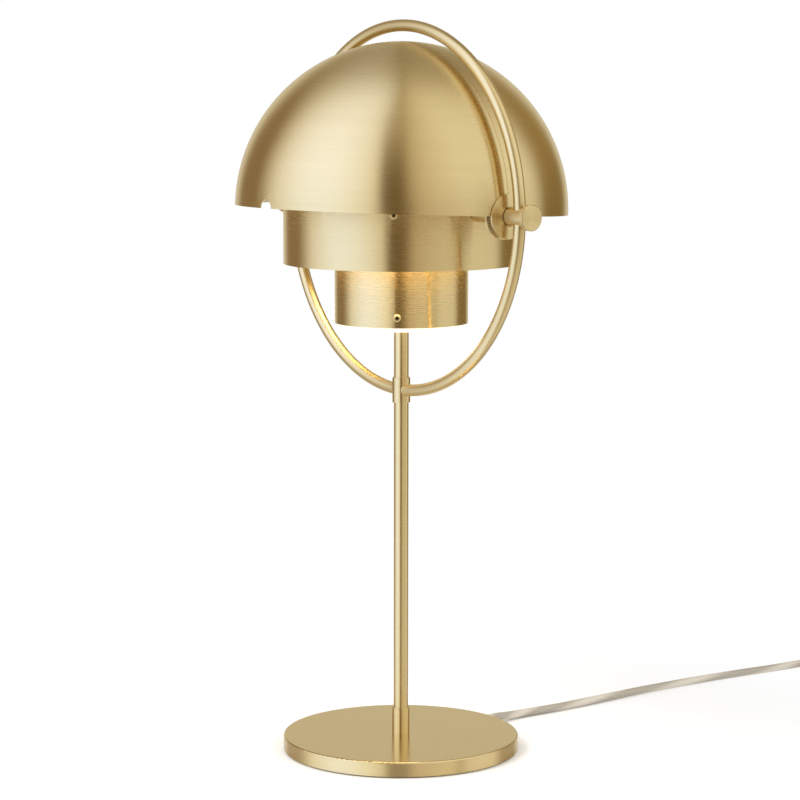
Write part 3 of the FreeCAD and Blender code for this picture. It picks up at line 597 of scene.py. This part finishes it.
def point(x, y, z=CORD_RADIUS):
    """A point of the cord's middle line, across the table in millimetres and with its height in metres."""
    return Vector((x * MM, y * MM, z))


LEAD_POINTS = [
    along_exit(0),
    along_exit(10.5 * MM),
    point(-14.0, 109.0, 3.4 * MM),
    point(-15.2, 128.0),
    point(-13.0, 155.0),
    point(-13.6, 190.0),
    point(-15.6, 236.0),
    point(-14.6, 286.0),
    point(-11.6, 334.0),
    point(-6.6, 373.0),
    point(-5.0, 404.0),
    point(-5.0, 431.0),
]
LEAD_END = LEAD_POINTS[-1]
COIL_CENTRE = LEAD_END + Vector((COIL_RADIUS, COIL_END_RUN, 0))
COIL_TOP = CORD_RADIUS + COIL_LAYER_STEP
TAIL_X = COIL_CENTRE.x + COIL_RADIUS
TAIL_POINTS = [
    Vector((TAIL_X, LEAD_END.y, COIL_TOP)),
    Vector((TAIL_X, LEAD_END.y - 13 * MM, COIL_TOP)),
    Vector((TAIL_X + 15 * MM, LEAD_END.y - 47 * MM, PLUG_HALF_HEIGHT)),
    Vector((TAIL_X + 16 * MM, LEAD_END.y - 60 * MM, PLUG_HALF_HEIGHT)),
]


def coil_points():
    """Turns that spiral in along the table, climb a layer in a half turn, and spiral out on top."""
    points = []
    half_turns = 2 * COIL_HALF_TURNS + 1
    for index in range(half_turns * COIL_POINTS_PER_HALF_TURN + 1):
        turned = index / COIL_POINTS_PER_HALF_TURN
        climb = min(max(turned - COIL_HALF_TURNS, 0.0), 1.0)
        inward = min(turned, COIL_HALF_TURNS) - max(turned - COIL_HALF_TURNS - 1, 0.0)
        radius = COIL_RADIUS - COIL_HALF_TURN_STEP * inward
        height = COIL_LAYER_STEP * (1 - math.cos(math.pi * climb)) / 2
        angle = math.pi * turned
        offset = Vector((-radius * math.cos(angle), radius * math.sin(angle), height))
        points.append(COIL_CENTRE + offset)
    return points


def make_cord():
    data = bpy.data.curves.new("mains_cord", "CURVE")
    data.dimensions = "3D"
    data.bevel_depth = CORD_RADIUS
    data.bevel_resolution = 6
    data.use_fill_caps = True
    spline = data.splines.new("NURBS")
    points = LEAD_POINTS + coil_points() + TAIL_POINTS
    spline.points.add(len(points) - 1)
    for target, place in zip(spline.points, points):
        target.co = (*place, 1.0)
    spline.order_u = 3
    spline.use_endpoint_u = True
    spline.resolution_u = 8
    data.materials.append(MATERIALS["cord"])
    cord = bpy.data.objects.new("mains_cord", data)
    bpy.context.scene.collection.objects.link(cord)
    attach(cord, "stand")
    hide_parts("cord_lead", "cord_coil", "cord_tail")


# ------------------------------------------------------------------ studio


def studio_light(nodes):
    """What the metal sees: the tables round the lamp, and the dimmer patch overhead and behind."""
    azimuth = math.radians(CAMERA_AZIMUTH)
    towards_camera = (math.sin(azimuth), -math.cos(azimuth), 0.0)
    to_the_right = (math.cos(azimuth), math.sin(azimuth), 0.0)
    way = nodes.add("ShaderNodeTexCoord").outputs["Generated"]
    right = nodes.vector("DOT_PRODUCT", way, to_the_right)
    near = nodes.vector("DOT_PRODUCT", way, towards_camera)
    turn = nodes.math("ARCTAN2", right, near)
    share = nodes.math("ADD", nodes.math("DIVIDE", turn, 2 * math.pi), 0.5)
    low, high, top = (
        nodes.ramp(share, [((place + 180) / 360, tone) for place, tone in table])
        for table in (AROUND_LOW, AROUND_HIGH, AROUND_TOP)
    )
    height = nodes.split(way)[2]
    around = low
    for (start, end), table in ((LOW_TO_HIGH, high), (HIGH_TO_TOP, top)):
        around = nodes.mix(nodes.spread(height, start=start, end=end), around, table)
    raised = nodes.math("MULTIPLY", height, PATCH_HEIGHT)
    over = nodes.math("SUBTRACT", raised, nodes.math("MULTIPLY", near, PATCH_DEPTH))
    over = nodes.math("ADD", nodes.math("MULTIPLY", over, 0.5), 0.5)
    fade = nodes.ramp(over, [(0.0, WHITE), (PATCH_START, WHITE), (PATCH_END, PATCH_LIGHT)])
    return nodes.vector("MULTIPLY", around, fade)


def make_world():
    """The studio for the metal, an even light for the rest, and white for what is seen directly."""
    world = bpy.data.worlds.new("studio")
    bpy.context.scene.world = world
    world.use_nodes = True
    world.node_tree.nodes.clear()
    nodes = Nodes(world.node_tree)
    studio = studio_light(nodes)
    path = nodes.add("ShaderNodeLightPath").outputs
    shown = nodes.math("MAXIMUM", path["Is Camera Ray"], path["Is Transmission Ray"])
    even = colour((DIFFUSE_LEVEL, DIFFUSE_LEVEL, DIFFUSE_LEVEL))
    lit = nodes.mix(path["Is Glossy Ray"], even, studio)
    background = nodes.add("ShaderNodeBackground")
    nodes.link(nodes.mix(shown, lit, colour(WHITE)), background.inputs["Color"])
    output = nodes.add("ShaderNodeOutputWorld")
    nodes.link(background.outputs[0], output.inputs["Surface"])


def make_floor():
    mesh = bpy.data.meshes.new("floor")
    turns = [2 * math.pi * index / FLOOR_SIDES for index in range(FLOOR_SIDES)]
    rim = [(FLOOR_RADIUS * math.cos(turn), FLOOR_RADIUS * math.sin(turn), 0) for turn in turns]
    mesh.from_pydata(rim, [], [list(range(FLOOR_SIDES))])
    mesh.materials.append(MATERIALS["floor"])
    floor = bpy.data.objects.new("floor", mesh)
    floor.location.z = -FLOOR_DROP
    bpy.context.scene.collection.objects.link(floor)


def area_light(name, place, target, size, power, tone=WHITE, in_mirrors=False):
    """A round soft light that points from its place to a target."""
    data = bpy.data.lights.new(name, "AREA")
    data.shape = "DISK"
    data.size = size
    data.energy = power
    data.color = tone
    light = bpy.data.objects.new(name, data)
    light.location = place
    towards = Vector(target) - Vector(place)
    light.rotation_mode = "QUATERNION"
    light.rotation_quaternion = towards.to_track_quat("-Z", "Y")
    light.visible_glossy = in_mirrors
    light.visible_camera = False
    bpy.context.scene.collection.objects.link(light)


def make_lights():
    """Two soft studio lights, and the bulb's light that comes down between the two cylinders."""
    lamp_middle = (0.0, 0.0, HINGE_HEIGHT / 2)
    area_light("key", place=(-0.2, -1.6, 1.9), target=lamp_middle, size=1.4, power=26.0)
    area_light("fill", place=(1.7, 0.9, 1.6), target=lamp_middle, size=1.6, power=12.0)
    area_light(
        "glow",
        place=(0, 0, 374 * MM),
        target=(0, 0, 0),
        size=150 * MM,
        power=0.34,
        tone=WARM,
        in_mirrors=True,
    )


# ------------------------------------------------------------------ scene

make_camera()
MATERIALS = make_materials()
dress_pieces()
make_cord()
make_world()
make_floor()
make_lights()

bpy.context.scene.view_settings.view_transform = "Standard"
